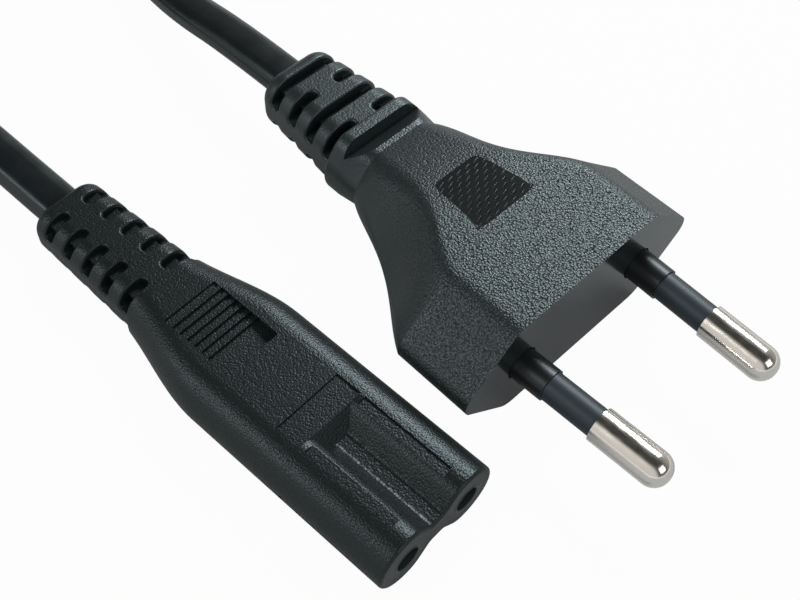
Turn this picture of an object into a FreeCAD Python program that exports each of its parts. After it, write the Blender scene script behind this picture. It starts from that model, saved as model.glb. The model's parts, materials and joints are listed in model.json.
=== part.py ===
import FreeCAD, Part
import math
import os

import Sketcher
from FreeCAD import Vector

# A mains lead: a flat two-pin plug, a flat two-core cord and a figure-of-eight connector.
# X points the way the pins point, Z is up, and the lead lies on z = 0. The origin is under the middle
# of the plug, pins included. All sizes are in millimetres and degrees.

SIZES = [
    # plug moulding, from the engagement face backwards
    ("face_width", 37.3, "plug, width across the side edges before they are rounded"),
    ("face_flat", 21.6, "plug, width of the flat top and bottom at the face"),
    ("body_height", 14.2, "plug, thickness"),
    ("shoulder_length", 9.8, "face to the end of the parallel sides"),
    ("corner_run", 1.6, "parallel sides to the rounded corner section"),
    ("corner_width", 35.0, "width at the rounded corner section"),
    ("corner_flat", 20.4, "flat at the rounded corner section"),
    ("flank_run", 3.1, "corner section to the flank section"),
    ("flank_width", 29.2, "width at the flank section"),
    ("flank_flat", 16.4, "flat at the flank section"),
    ("flank_height", 14.1, "thickness at the flank section"),
    ("waist_run", 6.5, "flank section to the waist section"),
    ("waist_width", 21.0, "width at the waist section"),
    ("waist_flat", 10.8, "flat at the waist section"),
    ("waist_height", 12.5, "thickness at the waist section"),
    ("neck_run", 6.8, "waist section to the neck section"),
    ("neck_width", 15.8, "width at the neck section before it is rounded"),
    ("neck_flat", 8.0, "flat at the neck section"),
    ("neck_height", 9.4, "thickness at the neck section"),
    ("face_nose", 2.0, "rounding of the side edges from the face to the corner section"),
    ("nose_radius", 1.0, "rounding of the side edges at the flank and waist sections"),
    ("neck_nose_radius", 2.8, "rounding of the side edges at the neck"),
    ("crease_radius", 3.0, "rounding of the creases along the flats"),
    ("flank_crease", 2.6, "the same at the flank section"),
    ("waist_crease", 3.2, "the same at the waist section"),
    ("neck_crease", 2.4, "the same at the neck section and on the band"),
    ("ring_gap", 0.15, "clearance of the shallow ring round each pin in the face"),
    ("ring_depth", 0.3, "depth of the shallow ring round each pin in the face"),
    # band behind the neck, and the valley in front of it
    ("band_run", 5.0, "neck section to the back of the band"),
    ("band_length", 2.1, "band, length"),
    ("band_width", 16.0, "band, width before its sides are rounded"),
    ("band_flat", 9.8, "band, flat top and bottom"),
    ("band_height", 9.6, "band, thickness"),
    ("band_nose_radius", 4.0, "band, rounding of its sides"),
    ("band_rounding", 0.5, "band, rounding of its back edge"),
    ("valley_start", 0.7, "neck section to the rim of the valley"),
    ("valley_length", 2.2, "rim to the bottom of the valley"),
    ("valley_rise", 0.5, "bottom of the valley to the top edge of the band, along the plug"),
    ("valley_width", 15.0, "valley, across the plug, where it runs out on the facets"),
    ("valley_depth", 1.4, "valley, below the rim"),
    # plug strain relief
    ("relief_length", 13.4, "band to the end of the strain relief"),
    ("relief_root_width", 12.4, "strain relief, width at the band"),
    ("relief_root_height", 8.5, "strain relief, thickness at the band"),
    ("relief_end_width", 10.2, "strain relief, width at the cord"),
    ("relief_end_height", 7.4, "strain relief, thickness at the cord"),
    ("relief_corner", 3.0, "strain relief, corner radius"),
    ("relief_end_radius", 1.6, "strain relief, rounding of its end"),
    ("groove_start", 2.15, "end of the relief to the first groove"),
    ("groove_pitch", 3.3, "groove to groove"),
    ("groove_width", 1.35, "width of a groove"),
    ("groove_end_radius", 0.6, "rounding of a groove's ends"),
    ("rim_radius", 0.3, "rounding of the rims beside the grooves"),
    ("spine_width", 2.2, "side spine left between upper and lower grooves"),
    ("bridge_width", 3.0, "bridge left in the middle of every other groove"),
    ("relief_wall", 0.7, "material left round the cord under a groove"),
    # pins
    ("pin_spacing", 18.6, "between the pins at the face"),
    ("tip_spacing", 17.5, "between the pins at their tips"),
    ("pin_length", 19.0, "face to the pin's tip"),
    ("pin_diameter", 4.0, "bare end of a pin"),
    ("pin_tip_radius", 1.9, "rounding of a pin's tip"),
    ("bare_length", 8.8, "bare end of a pin, length"),
    ("stem_diameter", 2.4, "pin inside its sleeve"),
    ("sleeve_diameter", 3.4, "insulating sleeve"),
    ("collar_diameter", 3.8, "thicker root of the sleeve"),
    ("collar_length", 3.9, "face to the end of the thicker root"),
    ("flange_diameter", 4.6, "flange that stops a pin behind the carrier"),
    ("flange_length", 1.2, "thickness of that flange"),
    ("barrel_diameter", 2.8, "crimp barrel of a pin"),
    ("barrel_length", 4.5, "crimp barrel of a pin, length"),
    ("barrel_floor", 0.6, "solid end of a crimp barrel"),
    ("carrier_setback", 1.5, "face to the front of the pin carrier"),
    ("carrier_length", 5.0, "pin carrier, along the pins"),
    ("carrier_height", 8.0, "pin carrier, thickness"),
    ("carrier_margin", 3.2, "pin axis to the end of the pin carrier"),
    ("carrier_radius", 1.5, "rounding of the pin carrier's long edges"),
    # cord
    ("cord_width", 5.4, "flat cord, width"),
    ("cord_height", 3.4, "flat cord, thickness"),
    ("cord_grip", 5.65, "length of sheath held inside each strain relief"),
    ("core_diameter", 2.1, "insulation of one core"),
    ("core_spacing", 2.3, "between the two cores in the sheath"),
    ("core_bend", 3.0, "bend radius of a core in a moulding"),
    ("core_fan", 6.0, "sheath end to the point where the cores part"),
    ("core_lead", 2.8, "straight core behind a crimp barrel"),
    ("wire_diameter", 1.0, "bare strands of one core"),
    ("coil_x", -116.5, "middle of the coil"),
    ("coil_y", -15.3, "middle of the coil"),
    ("coil_radius", 30.0, "middle of the turns"),
    ("turn_pitch", 5.6, "turn to turn in one layer"),
    ("layer_pitch", 3.5, "layer to layer"),
    ("turns_across", 3, "turns in one layer"),
    ("coil_corner", 1.6, "rounding of the coil's section"),
    ("coil_entry", 66.0, "direction from the coil's middle to the end that comes from the plug"),
    ("coil_exit", -67.65, "direction from the coil's middle to the end that goes to the connector"),
    ("coil_tail", 21.0, "straight cord at each end of the coil"),
    ("coil_lead", 12.5, "last run of the cord before the coil"),
    ("tie_width", 5.0, "tie round the coil"),
    ("tie_thickness", 0.6, "tie round the coil"),
    ("tie_gap", 0.3, "room between the tie and the coil"),
    # connector, from its nose backwards
    ("nose_x", 19.6, "middle of the connector's nose"),
    ("nose_y", -27.5, "middle of the connector's nose"),
    ("connector_turn", 3.0, "direction of the connector on the floor"),
    ("contact_pitch", 8.6, "between the two contacts"),
    ("lobe_diameter", 7.6, "one lobe of the figure of eight"),
    ("barrel_run", 27.0, "nose to the end of the parallel lobes"),
    ("brow_run", 3.5, "parallel lobes to the section on the soft shoulder"),
    ("brow_width", 15.3, "connector, width on the soft shoulder"),
    ("brow_height", 7.56, "connector, thickness on the soft shoulder"),
    ("hip_run", 4.5, "soft shoulder to the section on the taper"),
    ("hip_width", 13.15, "connector, width on the taper"),
    ("hip_height", 7.4, "connector, thickness on the taper"),
    ("throat_run", 4.5, "taper section to the connector's strain relief"),
    ("throat_width", 11.0, "connector, width where its strain relief starts"),
    ("throat_height", 7.2, "connector, thickness where its strain relief starts"),
    ("side_flat", 0.6, "flat left on the connector's sides where it tapers"),
    ("tail_length", 17.5, "connector's strain relief, length"),
    ("tail_root_width", 10.0, "connector's strain relief, width at its root"),
    ("tail_root_height", 6.8, "connector's strain relief, thickness at its root"),
    ("tail_end_width", 9.0, "connector's strain relief, width at the cord"),
    ("tail_end_height", 6.2, "connector's strain relief, thickness at the cord"),
    ("tail_corner", 2.6, "connector's strain relief, corner radius"),
    ("tail_end_radius", 1.2, "connector's strain relief, rounding of its end"),
    ("tail_groove_start", 2.2, "end of that relief to its first groove"),
    ("tail_wall", 0.6, "material left round the cord under its grooves"),
    ("tail_bridge", 2.4, "bridge left in the middle of its grooves"),
    ("nose_rounding", 0.4, "rounding of the nose's outline"),
    ("channel_length", 14.5, "channel between the lobes, from the nose"),
    ("channel_width", 6.2, "channel between the lobes, at its top before that is rounded"),
    ("channel_floor", 1.7, "channel between the lobes, at its bottom"),
    ("channel_depth", 2.1, "channel between the lobes, depth"),
    ("channel_rounding", 2.6, "rounding of the lobes into the channel"),
    ("channel_root", 0.7, "rounding at the bottom of the channel"),
    ("channel_slope", 1.6, "sloping end wall of the channel, along the connector"),
    ("flat_length", 3.2, "sunk flat behind the channel, length"),
    ("flat_depth", 0.2, "sunk flat behind the channel, depth"),
    ("panel_start", 2.2, "nose to the sunk panels on the lobes"),
    ("panel_length", 11.6, "sunk panels on the lobes, length"),
    ("panel_depth", 0.2, "sunk panels on the lobes, depth"),
    ("panel_width", 2.0, "sunk panels on the lobes, width"),
    ("recess_start", 25.5, "nose to the deep end of the grip recess"),
    ("recess_length", 9.8, "grip recess, length"),
    ("recess_width", 7.0, "grip recess, width"),
    ("recess_depth", 1.3, "grip recess, depth at its deep end"),
    ("recess_toe", 0.35, "grip recess, depth at its shallow end"),
    ("rib_start", 0.7, "shallow end of the grip recess to the first rib"),
    ("rib_pitch", 1.05, "rib to rib in the grip recess"),
    ("rib_width", 0.5, "rib in the grip recess, width"),
    ("rib_height", 0.28, "rib in the grip recess, height"),
    ("contact_recess", 1.5, "nose to the front of a contact"),
    ("contact_length", 12.0, "socket of a contact, length"),
    ("contact_diameter", 3.4, "contact, outside"),
    ("socket_diameter", 2.4, "contact, bore for the appliance's pin"),
    ("socket_depth", 10.5, "contact, depth of that bore"),
    ("contact_barrel", 4.0, "crimp barrel of a contact, length"),
    ("contact_barrel_diameter", 2.4, "crimp barrel of a contact, outside"),
    ("entry_diameter", 2.9, "hole in the nose in front of a contact"),
    ("holder_diameter", 5.0, "tube of the contact holder"),
    ("holder_web", 2.2, "thickness of the web between those tubes"),
]

# Route of the cord between the two strain reliefs and the coil, by hand: the point after the exit and
# the next one. The ends follow from the strain reliefs and the coil.
PLUG_ROUTE = [(-41.5, 0.0, 7.1), (-56.5, 0.4, 4.3)]
CONNECTOR_ROUTE = [(-44.1, -30.84, 3.8), (-57.8, -31.75, 4.6)]
RIBS = 6
LAYERS = 2
ARC_SHARE = 0.45
# Straight stretch that is kept between two roundings of a stadium-shaped section.
SLIVER = 0.02
# Two places closer than this are the same place.
NEAR = 1e-6


class Size:
    """A number together with the spreadsheet expression that gives it."""

    def __init__(self, number, text):
        self.number = float(number)
        self.text = text

    @staticmethod
    def of(value):
        return value if isinstance(value, Size) else Size(value, repr(value))

    def __add__(self, other):
        other = Size.of(other)
        return Size(self.number + other.number, f"({self.text} + {other.text})")

    def __sub__(self, other):
        other = Size.of(other)
        return Size(self.number - other.number, f"({self.text} - {other.text})")

    def __mul__(self, other):
        other = Size.of(other)
        return Size(self.number * other.number, f"({self.text} * {other.text})")

    def __truediv__(self, other):
        other = Size.of(other)
        return Size(self.number / other.number, f"({self.text} / {other.text})")

    def __neg__(self):
        return Size(-self.number, f"(-{self.text})")


ZERO = Size.of(0)
doc = FreeCAD.newDocument("mains_lead")
sheet = doc.addObject("Spreadsheet::Sheet", "Sizes")
size = {}
for row, (alias, value, meaning) in enumerate(SIZES, start=1):
    sheet.set(f"A{row}", meaning)
    sheet.set(f"B{row}", str(value))
    sheet.setAlias(f"B{row}", alias)
    size[alias] = Size(value, f"Sizes.{alias}")
doc.recompute()


def bind(thing, **properties):
    """Tie properties of a document object to sizes; a double underscore stands for a dot."""
    for name, value in properties.items():
        thing.setExpression(name.replace("__", "."), Size.of(value).text)


def new_body(name):
    return doc.addObject("PartDesign::Body", name)


def new_sketch(body, name, role, offset=ZERO):
    """A sketch on one of the body's own origin planes, moved along that plane's normal."""
    sketch = body.newObject("Sketcher::SketchObject", name)
    plane = next(feature for feature in body.Origin.OriginFeatures if feature.Role == role)
    sketch.AttachmentSupport = (plane, [""])
    sketch.MapMode = "FlatFace"
    bind(sketch, AttachmentOffset__Base__z=offset)
    return sketch


def dimension(sketch, constraint, value):
    """Add a dimension and tie it to a size."""
    index = sketch.addConstraint(constraint)
    sketch.renameConstraint(index, f"d{index}")
    sketch.setExpression(f"Constraints.d{index}", value.text)


def fix_point(sketch, geometry, position, corner):
    dimension(sketch, Sketcher.Constraint("DistanceX", -1, 1, geometry, position, corner[0].number), corner[0])
    dimension(sketch, Sketcher.Constraint("DistanceY", -1, 1, geometry, position, corner[1].number), corner[1])


def add_outline(sketch, corners, closed=True):
    """A polygon or open polyline through corners (x, y) or (x, y, radius), each dimensioned."""
    corners = [tuple(Size.of(value) for value in corner) for corner in corners]
    points = [Vector(corner[0].number, corner[1].number, 0) for corner in corners]
    count = len(corners)
    ends = [(point, point) for point in points]
    centres = [None] * count
    for i, corner in enumerate(corners):
        if len(corner) == 3:
            back = (points[i - 1] - points[i]).normalize()
            ahead = (points[(i + 1) % count] - points[i]).normalize()
            half = back.getAngle(ahead) / 2
            reach = corner[2].number / math.tan(half)
            ends[i] = (points[i] + back * reach, points[i] + ahead * reach)
            centres[i] = points[i] + (back + ahead).normalize() * (corner[2].number / math.sin(half))
    lines = [sketch.addGeometry(Part.LineSegment(ends[i][1], ends[(i + 1) % count][0]))
             for i in range(count if closed else count - 1)]
    for i, corner in enumerate(corners):
        inner = closed or 0 < i < count - 1
        before, after = lines[i - 1], lines[i % len(lines)]
        if not inner:
            fix_point(sketch, lines[0] if i == 0 else lines[-1], 1 if i == 0 else 2, corner)
        elif centres[i] is None:
            sketch.addConstraint(Sketcher.Constraint("Coincident", before, 2, after, 1))
            fix_point(sketch, after, 1, corner)
        else:
            arms = [ends[i][0] - centres[i], ends[i][1] - centres[i]]
            leftward = arms[0].cross(arms[1]).z > 0
            first, last = (0, 1) if leftward else (1, 0)
            angles = [math.atan2(arm.y, arm.x) for arm in arms]
            circle = Part.Circle(centres[i], Vector(0, 0, 1), corner[2].number)
            arc = sketch.addGeometry(Part.ArcOfCircle(circle, angles[first], angles[last]))
            sketch.addConstraint(Sketcher.Constraint("Tangent", before, 2, arc, 1 if leftward else 2))
            sketch.addConstraint(Sketcher.Constraint("Tangent", after, 1, arc, 2 if leftward else 1))
            dimension(sketch, Sketcher.Constraint("Radius", arc, corner[2].number), corner[2])
            tip = sketch.addGeometry(Part.Point(points[i]), True)
            sketch.addConstraint(Sketcher.Constraint("PointOnObject", tip, 1, before))
            sketch.addConstraint(Sketcher.Constraint("PointOnObject", tip, 1, after))
            fix_point(sketch, tip, 1, corner)
    return sketch


def add_circle(sketch, x, y, diameter):
    x, y = Size.of(x), Size.of(y)
    radius = diameter / 2
    circle = sketch.addGeometry(Part.Circle(Vector(x.number, y.number, 0), Vector(0, 0, 1), radius.number))
    dimension(sketch, Sketcher.Constraint("Radius", circle, radius.number), radius)
    fix_point(sketch, circle, 3, (x, y))
    return sketch


def feature(body, kind, name, profile, **properties):
    """A sketch-based feature of a body with its bound sizes."""
    made = body.newObject(f"PartDesign::{kind}", name)
    made.Profile = profile
    bind(made, **properties)
    return made


def loft(body, name, first, *others, ruled=False):
    made = feature(body, "AdditiveLoft", name, first)
    made.Sections = list(others)
    made.Ruled = ruled
    return made


def revolve(body, name, corners):
    """A turned piece about the body's X axis."""
    sketch = add_outline(new_sketch(body, f"{name}_profile", "XY_Plane"), corners)
    turned = feature(body, "Revolution", name, sketch)
    turned.ReferenceAxis = (sketch, ["H_Axis"])
    turned.Angle = 360
    return turned


def place(thing, x, y, z, turn=ZERO):
    bind(thing, Placement__Base__x=x, Placement__Base__y=y, Placement__Base__z=z)
    thing.Placement = FreeCAD.Placement(Vector(), FreeCAD.Rotation(Vector(0, 0, 1), 1))
    bind(thing, Placement__Rotation__Angle=turn)


def hexagon(body, name, x, width, flat, height, nose, crease):
    """The plug's section: flat top and bottom, facets down to the rounded side edges."""
    w, f, low, high = width / 2, flat / 2, plug_middle - height / 2, plug_middle + height / 2
    corners = [(w, plug_middle, nose), (f, high, crease), (-f, high, crease),
               (-w, plug_middle, nose), (-f, low, crease), (f, low, crease)]
    return add_outline(new_sketch(body, name, "YZ_Plane", x), corners)


def oblong(body, name, x, width, height, radius, middle=ZERO):
    """A rounded rectangle across the X axis."""
    w, up = width / 2, height / 2
    corners = [(w, middle - up, radius), (w, middle + up, radius),
               (-w, middle + up, radius), (-w, middle - up, radius)]
    return add_outline(new_sketch(body, name, "YZ_Plane", x), corners)


def groove_ring(sketch, inner_width, inner_height, outer_width, outer_height, spine, bridge, middle):
    """The section that one groove of a strain relief takes away, left of a bridge and over a side spine."""
    for side in (1, -1):
        for up in (1, -1):
            across = [bridge / 2, outer_width / 2, outer_width / 2, inner_width / 2, inner_width / 2, bridge / 2]
            rise = [outer_height / 2, outer_height / 2, spine / 2, spine / 2, inner_height / 2, inner_height / 2]
            add_outline(sketch, [(y * side, middle + z * up) for y, z in zip(across, rise)])
    return sketch


def cross_groove(sketch, inner_width, inner_height, outer_width, outer_height, spine, middle):
    """The section of a groove that runs right across, above and below the side spines."""
    outer, inner = outer_width / 2, inner_width / 2
    across = [outer, outer, inner, inner, -inner, -inner, -outer, -outer]
    rise = [outer_height / 2, spine / 2, spine / 2, inner_height / 2,
            inner_height / 2, spine / 2, spine / 2, outer_height / 2]
    for up in (1, -1):
        add_outline(sketch, [(y, middle + z * up) for y, z in zip(across, rise)])
    return sketch


def row(body, name, original, spacing, count):
    """A feature repeated along X."""
    axis = next(item for item in body.Origin.OriginFeatures if item.Role == "X_Axis")
    pattern = body.newObject("PartDesign::LinearPattern", name)
    pattern.Originals = [original]
    pattern.Direction = (axis, [""])
    pattern.Occurrences = count
    bind(pattern, Length=spacing * (count - 1))
    body.Tip = pattern
    return pattern


def row_of_cuts(body, name, sketch, width, spacing, count):
    """A pocket along +X repeated along X."""
    pocket = feature(body, "Pocket", f"{name}_first", sketch, Length=width)
    pocket.Reversed = True
    return row(body, name, pocket, spacing, count)


def round_end(body, name, x, radius):
    """Round the outline of the body's end face at x."""
    doc.recompute()
    base = body.Tip
    edges = [f"Edge{i}" for i, edge in enumerate(base.Shape.Edges, start=1)
             if edge.BoundBox.XLength < NEAR and abs(edge.BoundBox.XMin - x.number) < NEAR]
    fillet = body.newObject("PartDesign::Fillet", name)
    fillet.Base = (base, edges)
    bind(fillet, Radius=radius)
    return fillet


def joined(name, things):
    made = doc.addObject("Part::MultiFuse", name)
    made.Shapes = things
    return made


def cut(name, base, tool):
    made = doc.addObject("Part::Cut", name)
    made.Base = base
    made.Tool = tool
    return made


def rounded_path(points):
    """Straight runs joined by tangent arcs, each as large as its two runs allow; the radii as well."""
    edges, radii, start = [], [], points[0]
    for before, corner, after in zip(points, points[1:], points[2:]):
        back, ahead = before - corner, after - corner
        reach = ARC_SHARE * min(back.Length, ahead.Length)
        half_turn = (math.pi - back.getAngle(ahead)) / 2
        back.normalize()
        ahead.normalize()
        radius = reach / math.tan(half_turn)
        centre = corner + (back + ahead).normalize() * (radius / math.cos(half_turn))
        first, last = corner + back * reach, corner + ahead * reach
        middle = centre + (corner - centre).normalize() * radius
        edges += [Part.LineSegment(start, first).toShape(), Part.Arc(first, middle, last).toShape()]
        radii.append(radius)
        start = last
    edges.append(Part.LineSegment(start, points[-1]).toShape())
    return Part.Wire(edges), radii


def cord_section(origin, along):
    """The flat cord's section across a horizontal direction."""
    half = (size["cord_width"].number - size["cord_height"].number) / 2
    radius = size["cord_height"].number / 2
    side = Vector(0, 0, 1).cross(along).normalize()
    up = Vector(0, 0, radius)
    left, right = origin + side * half, origin - side * half
    edges = [Part.LineSegment(right + up, left + up).toShape(),
             Part.Arc(left + up, left + side * radius, left - up).toShape(),
             Part.LineSegment(left - up, right - up).toShape(),
             Part.Arc(right - up, right - side * radius, right + up).toShape()]
    return Part.Wire(edges)


def cord_tube(name, points):
    """A plain tube of the cord's section along a route."""
    path, radii = rounded_path(points)
    section = cord_section(points[0], points[1] - points[0])
    sweep = Part.BRepOffsetAPI.MakePipeShell(path)
    sweep.setBiNormalMode(Vector(0, 0, 1))
    sweep.add(section)
    sweep.build()
    sweep.makeSolid()
    tube = doc.addObject("Part::Feature", name)
    tube.Shape = sweep.shape()
    area = Part.Face(section).Area
    print(f"{name}: length {path.Length:.1f}, radii {[round(r) for r in radii]}, "
          f"volume {tube.Shape.Volume:.0f} of {area * path.Length:.0f}")
    return tube


def grooves_on(length, start):
    """How many grooves find room on a strain relief of that length."""
    room = length - start - size["groove_width"]
    return int((room / size["groove_pitch"]).number + NEAR) + 1


# Places along the lead that several pieces share.
body_length = (size["shoulder_length"] + size["corner_run"] + size["flank_run"] + size["waist_run"]
               + size["neck_run"] + size["band_run"])
plug_length = body_length + size["relief_length"]
face_x = (plug_length - size["pin_length"]) / 2
relief_end = face_x - plug_length
plug_middle = size["body_height"] / 2
sheath_end = relief_end + size["cord_grip"]
cord_hole = size["cord_width"] + size["relief_wall"] * 2
cord_depth = size["cord_height"] + size["relief_wall"] * 2
taper_end = -(size["barrel_run"] + size["brow_run"] + size["hip_run"] + size["throat_run"])
tail_end = taper_end - size["tail_length"]
connector_sheath_end = tail_end + size["cord_grip"]
connector_middle = size["lobe_diameter"] / 2
groove_pairs = grooves_on(size["relief_length"], size["groove_start"]) // 2
tail_groove_count = grooves_on(size["tail_length"], size["tail_groove_start"])


def plug_moulding():
    """Faceted plug moulding with its concave flanks and ribbed strain relief, still solid inside."""
    body = new_body("plug_moulding")
    front = (size["face_width"], size["face_flat"], size["body_height"], size["face_nose"], size["crease_radius"])
    face = hexagon(body, "face_section", face_x, *front)
    shoulder = feature(body, "Pad", "shoulder", face, Length=size["shoulder_length"])
    shoulder.Reversed = True
    x = face_x - size["shoulder_length"]
    sections = [hexagon(body, "shoulder_section", x, *front)]
    for part, height, nose, crease in (("corner", "body_height", "face_nose", "crease_radius"),
                                       ("flank", "flank_height", "nose_radius", "flank_crease"),
                                       ("waist", "waist_height", "nose_radius", "waist_crease"),
                                       ("neck", "neck_height", "neck_nose_radius", "neck_crease")):
        x = x - size[f"{part}_run"]
        sections.append(hexagon(body, f"{part}_section", x, size[f"{part}_width"], size[f"{part}_flat"],
                                size[height], size[nose], size[crease]))
    loft(body, "flanks", *sections)
    band_back = x - size["band_run"]
    band = (size["band_width"], size["band_flat"], size["band_height"], size["band_nose_radius"], size["neck_crease"])
    loft(body, "throat", sections[-1],
         hexagon(body, "throat_end", band_back + size["band_length"], *band), ruled=True)
    feature(body, "Pad", "band", hexagon(body, "band_section", band_back, *band), Length=size["band_length"])
    round_end(body, "band_edge", band_back, size["band_rounding"])
    neck_valleys(body, x)
    relief = [oblong(body, "relief_root", band_back + size["band_length"] / 2, size["relief_root_width"],
                     size["relief_root_height"], size["relief_corner"], plug_middle),
              oblong(body, "relief_tip", relief_end, size["relief_end_width"], size["relief_end_height"],
                     size["relief_corner"], plug_middle)]
    loft(body, "relief", *relief, ruled=True)
    round_end(body, "relief_rounding", relief_end, size["relief_end_radius"])
    relief_grooves(body)
    rings = new_sketch(body, "pin_rings", "YZ_Plane", face_x)
    for side in (1, -1):
        add_circle(rings, size["pin_spacing"] / 2 * side, plug_middle, size["collar_diameter"] + size["ring_gap"] * 2)
    feature(body, "Pocket", "face_rings", rings, Length=size["ring_depth"])
    return body


def neck_valleys(body, neck_x):
    """Above and below, the flat drops from a rim into a valley that ends at the band."""
    sketch = new_sketch(body, "neck_valley", "XZ_Plane")
    rim = neck_x - size["valley_start"]
    bottom = rim - size["valley_length"]
    back = bottom - size["valley_rise"]
    for side in (1, -1):
        top = plug_middle + size["neck_height"] / 2 * side
        floor = top - size["valley_depth"] * side
        clear = top + size["band_height"] / 4 * side
        add_outline(sketch, [(rim, top), (rim, clear), (back - size["valley_rise"], clear), (bottom, floor)])
    valley = feature(body, "Pocket", "neck_valleys", sketch, Length=size["valley_width"])
    valley.Midplane = True


def relief_grooves(body):
    """Grooves over and under the strain relief, whole ones and bridged ones by turns."""
    outer = size["relief_root_width"] * 1.5, size["relief_root_height"] * 1.5
    first = relief_end + size["groove_start"]
    across = cross_groove(new_sketch(body, "cross_groove", "YZ_Plane", first), cord_hole, cord_depth, *outer,
                          size["spine_width"], plug_middle)
    row_of_cuts(body, "cross_grooves", across, size["groove_width"], size["groove_pitch"] * 2, groove_pairs)
    split = groove_ring(new_sketch(body, "split_groove", "YZ_Plane", first + size["groove_pitch"]),
                        cord_hole, cord_depth, *outer, size["spine_width"], size["bridge_width"], plug_middle)
    row_of_cuts(body, "split_grooves", split, size["groove_width"], size["groove_pitch"] * 2, groove_pairs)
    round_groove_ends(body, "groove_ends", first, size["bridge_width"], plug_middle)
    walls = groove_walls(first, groove_pairs * 2)
    round_rims(body, "groove_rims", walls[:-1], cord_hole, cord_depth, plug_middle)


def round_groove_ends(body, name, first, bridge_width, middle):
    """Round the ends of a strain relief's grooves, at the side spines and at the bridges."""
    doc.recompute()
    grooved = body.Tip
    spine = size["spine_width"].number / 2
    bridge = bridge_width.number / 2
    edges = []
    for i, edge in enumerate(grooved.Shape.Edges, start=1):
        box = edge.BoundBox
        if box.XLength > NEAR or box.XMin < first.number - NEAR:
            continue
        along_y = box.ZLength < NEAR and abs(abs(box.ZMin - middle.number) - spine) < NEAR
        along_z = box.YLength < NEAR and abs(abs(box.YMin) - bridge) < NEAR
        if along_y or along_z:
            edges.append(f"Edge{i}")
    fillet = body.newObject("PartDesign::Fillet", name)
    fillet.Base = (grooved, edges)
    bind(fillet, Radius=size["groove_end_radius"])


def groove_walls(first, count):
    """Places along X of the walls of a row of grooves."""
    starts = [(first + size["groove_pitch"] * i).number for i in range(count)]
    return [wall for start in starts for wall in (start, start + size["groove_width"].number)]


def round_rims(body, name, walls, inner_width, inner_height, middle):
    """Round the outer edges of a strain relief beside its grooves."""
    doc.recompute()
    grooved = body.Tip
    margin = size["rim_radius"].number
    edges = []
    for i, edge in enumerate(grooved.Shape.Edges, start=1):
        box = edge.BoundBox
        if box.XLength > NEAR or all(abs(box.XMin - wall) > NEAR for wall in walls):
            continue
        halfway = edge.valueAt((edge.FirstParameter + edge.LastParameter) / 2)
        above = abs(halfway.z - middle.number) > inner_height.number / 2 + margin and box.YLength > NEAR
        beside = abs(halfway.y) > inner_width.number / 2 + margin and box.ZLength > NEAR
        if above or beside:
            edges.append(f"Edge{i}")
    fillet = body.newObject("PartDesign::Fillet", name)
    fillet.Base = (grooved, edges)
    bind(fillet, Radius=size["rim_radius"])


def pin_frame(thing, side):
    """Put a piece that was made along X on the axis of one converging pin."""
    lean = math.degrees(math.atan2((size["pin_spacing"] - size["tip_spacing"]).number / 2,
                                   size["pin_length"].number))
    text = "atan2((Sizes.pin_spacing - Sizes.tip_spacing) / 2; Sizes.pin_length)"
    place(thing, face_x, size["pin_spacing"] / 2 * side, plug_middle, Size(lean, text) * -side)


pin_stop = -(size["carrier_setback"] + size["carrier_length"])
barrel_start = pin_stop - size["flange_length"]
barrel_end = barrel_start - size["barrel_length"]


def pin(name, side):
    """Turned pin: rounded bare end, thin stem through the sleeve and carrier, flange and crimp barrel."""
    body = new_body(name)
    bare, stem = size["pin_diameter"] / 2, size["stem_diameter"] / 2
    flange, barrel = size["flange_diameter"] / 2, size["barrel_diameter"] / 2
    wire = size["wire_diameter"] / 2
    bare_start = size["pin_length"] - size["bare_length"]
    hole_end = barrel_start - size["barrel_floor"]
    revolve(body, f"{name}_turned", [
        (hole_end, ZERO), (size["pin_length"], ZERO), (size["pin_length"], bare, size["pin_tip_radius"]),
        (bare_start, bare), (bare_start, stem), (pin_stop, stem), (pin_stop, flange), (barrel_start, flange),
        (barrel_start, barrel), (barrel_end, barrel), (barrel_end, wire), (hole_end, wire)])
    pin_frame(body, side)
    return body


def pin_sleeve(name, side):
    """Insulating sleeve with its thicker root, from the carrier to the bare end."""
    body = new_body(name)
    stem, thin, thick = size["stem_diameter"] / 2, size["sleeve_diameter"] / 2, size["collar_diameter"] / 2
    front, back = size["pin_length"] - size["bare_length"], -size["carrier_setback"]
    revolve(body, f"{name}_turned", [
        (back, stem), (front, stem), (front, thin), (size["collar_length"], thin),
        (size["collar_length"], thick), (back, thick)])
    pin_frame(body, side)
    return body


def crimped_wire(name, start, length, frame):
    """Bare strands of one core inside a crimp barrel."""
    body = new_body(name)
    sketch = add_circle(new_sketch(body, f"{name}_section", "YZ_Plane", start), ZERO, ZERO, size["wire_diameter"])
    feature(body, "Pad", f"{name}_strands", sketch, Length=length)
    frame(body)
    return body


def pin_carrier_bar():
    """Moulded bar that holds the two pins apart, still without its holes."""
    body = new_body("carrier_bar")
    width = size["pin_spacing"] + size["carrier_margin"] * 2
    section = oblong(body, "carrier_section", face_x - size["carrier_setback"], width, size["carrier_height"],
                     size["carrier_radius"], plug_middle)
    bar = feature(body, "Pad", "carrier_pad", section, Length=size["carrier_length"])
    bar.Reversed = True
    return body


def core(name, corners, offset):
    """One insulated core: a round section along a path that fans out from the sheath."""
    body = new_body(name)
    path = add_outline(new_sketch(body, f"{name}_path", "XY_Plane", offset), corners, closed=False)
    section = add_circle(new_sketch(body, f"{name}_section", "YZ_Plane", corners[0][0]),
                         corners[0][1], offset, size["core_diameter"])
    pipe = feature(body, "AdditivePipe", f"{name}_insulation", section)
    pipe.Spine = path
    return body


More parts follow.
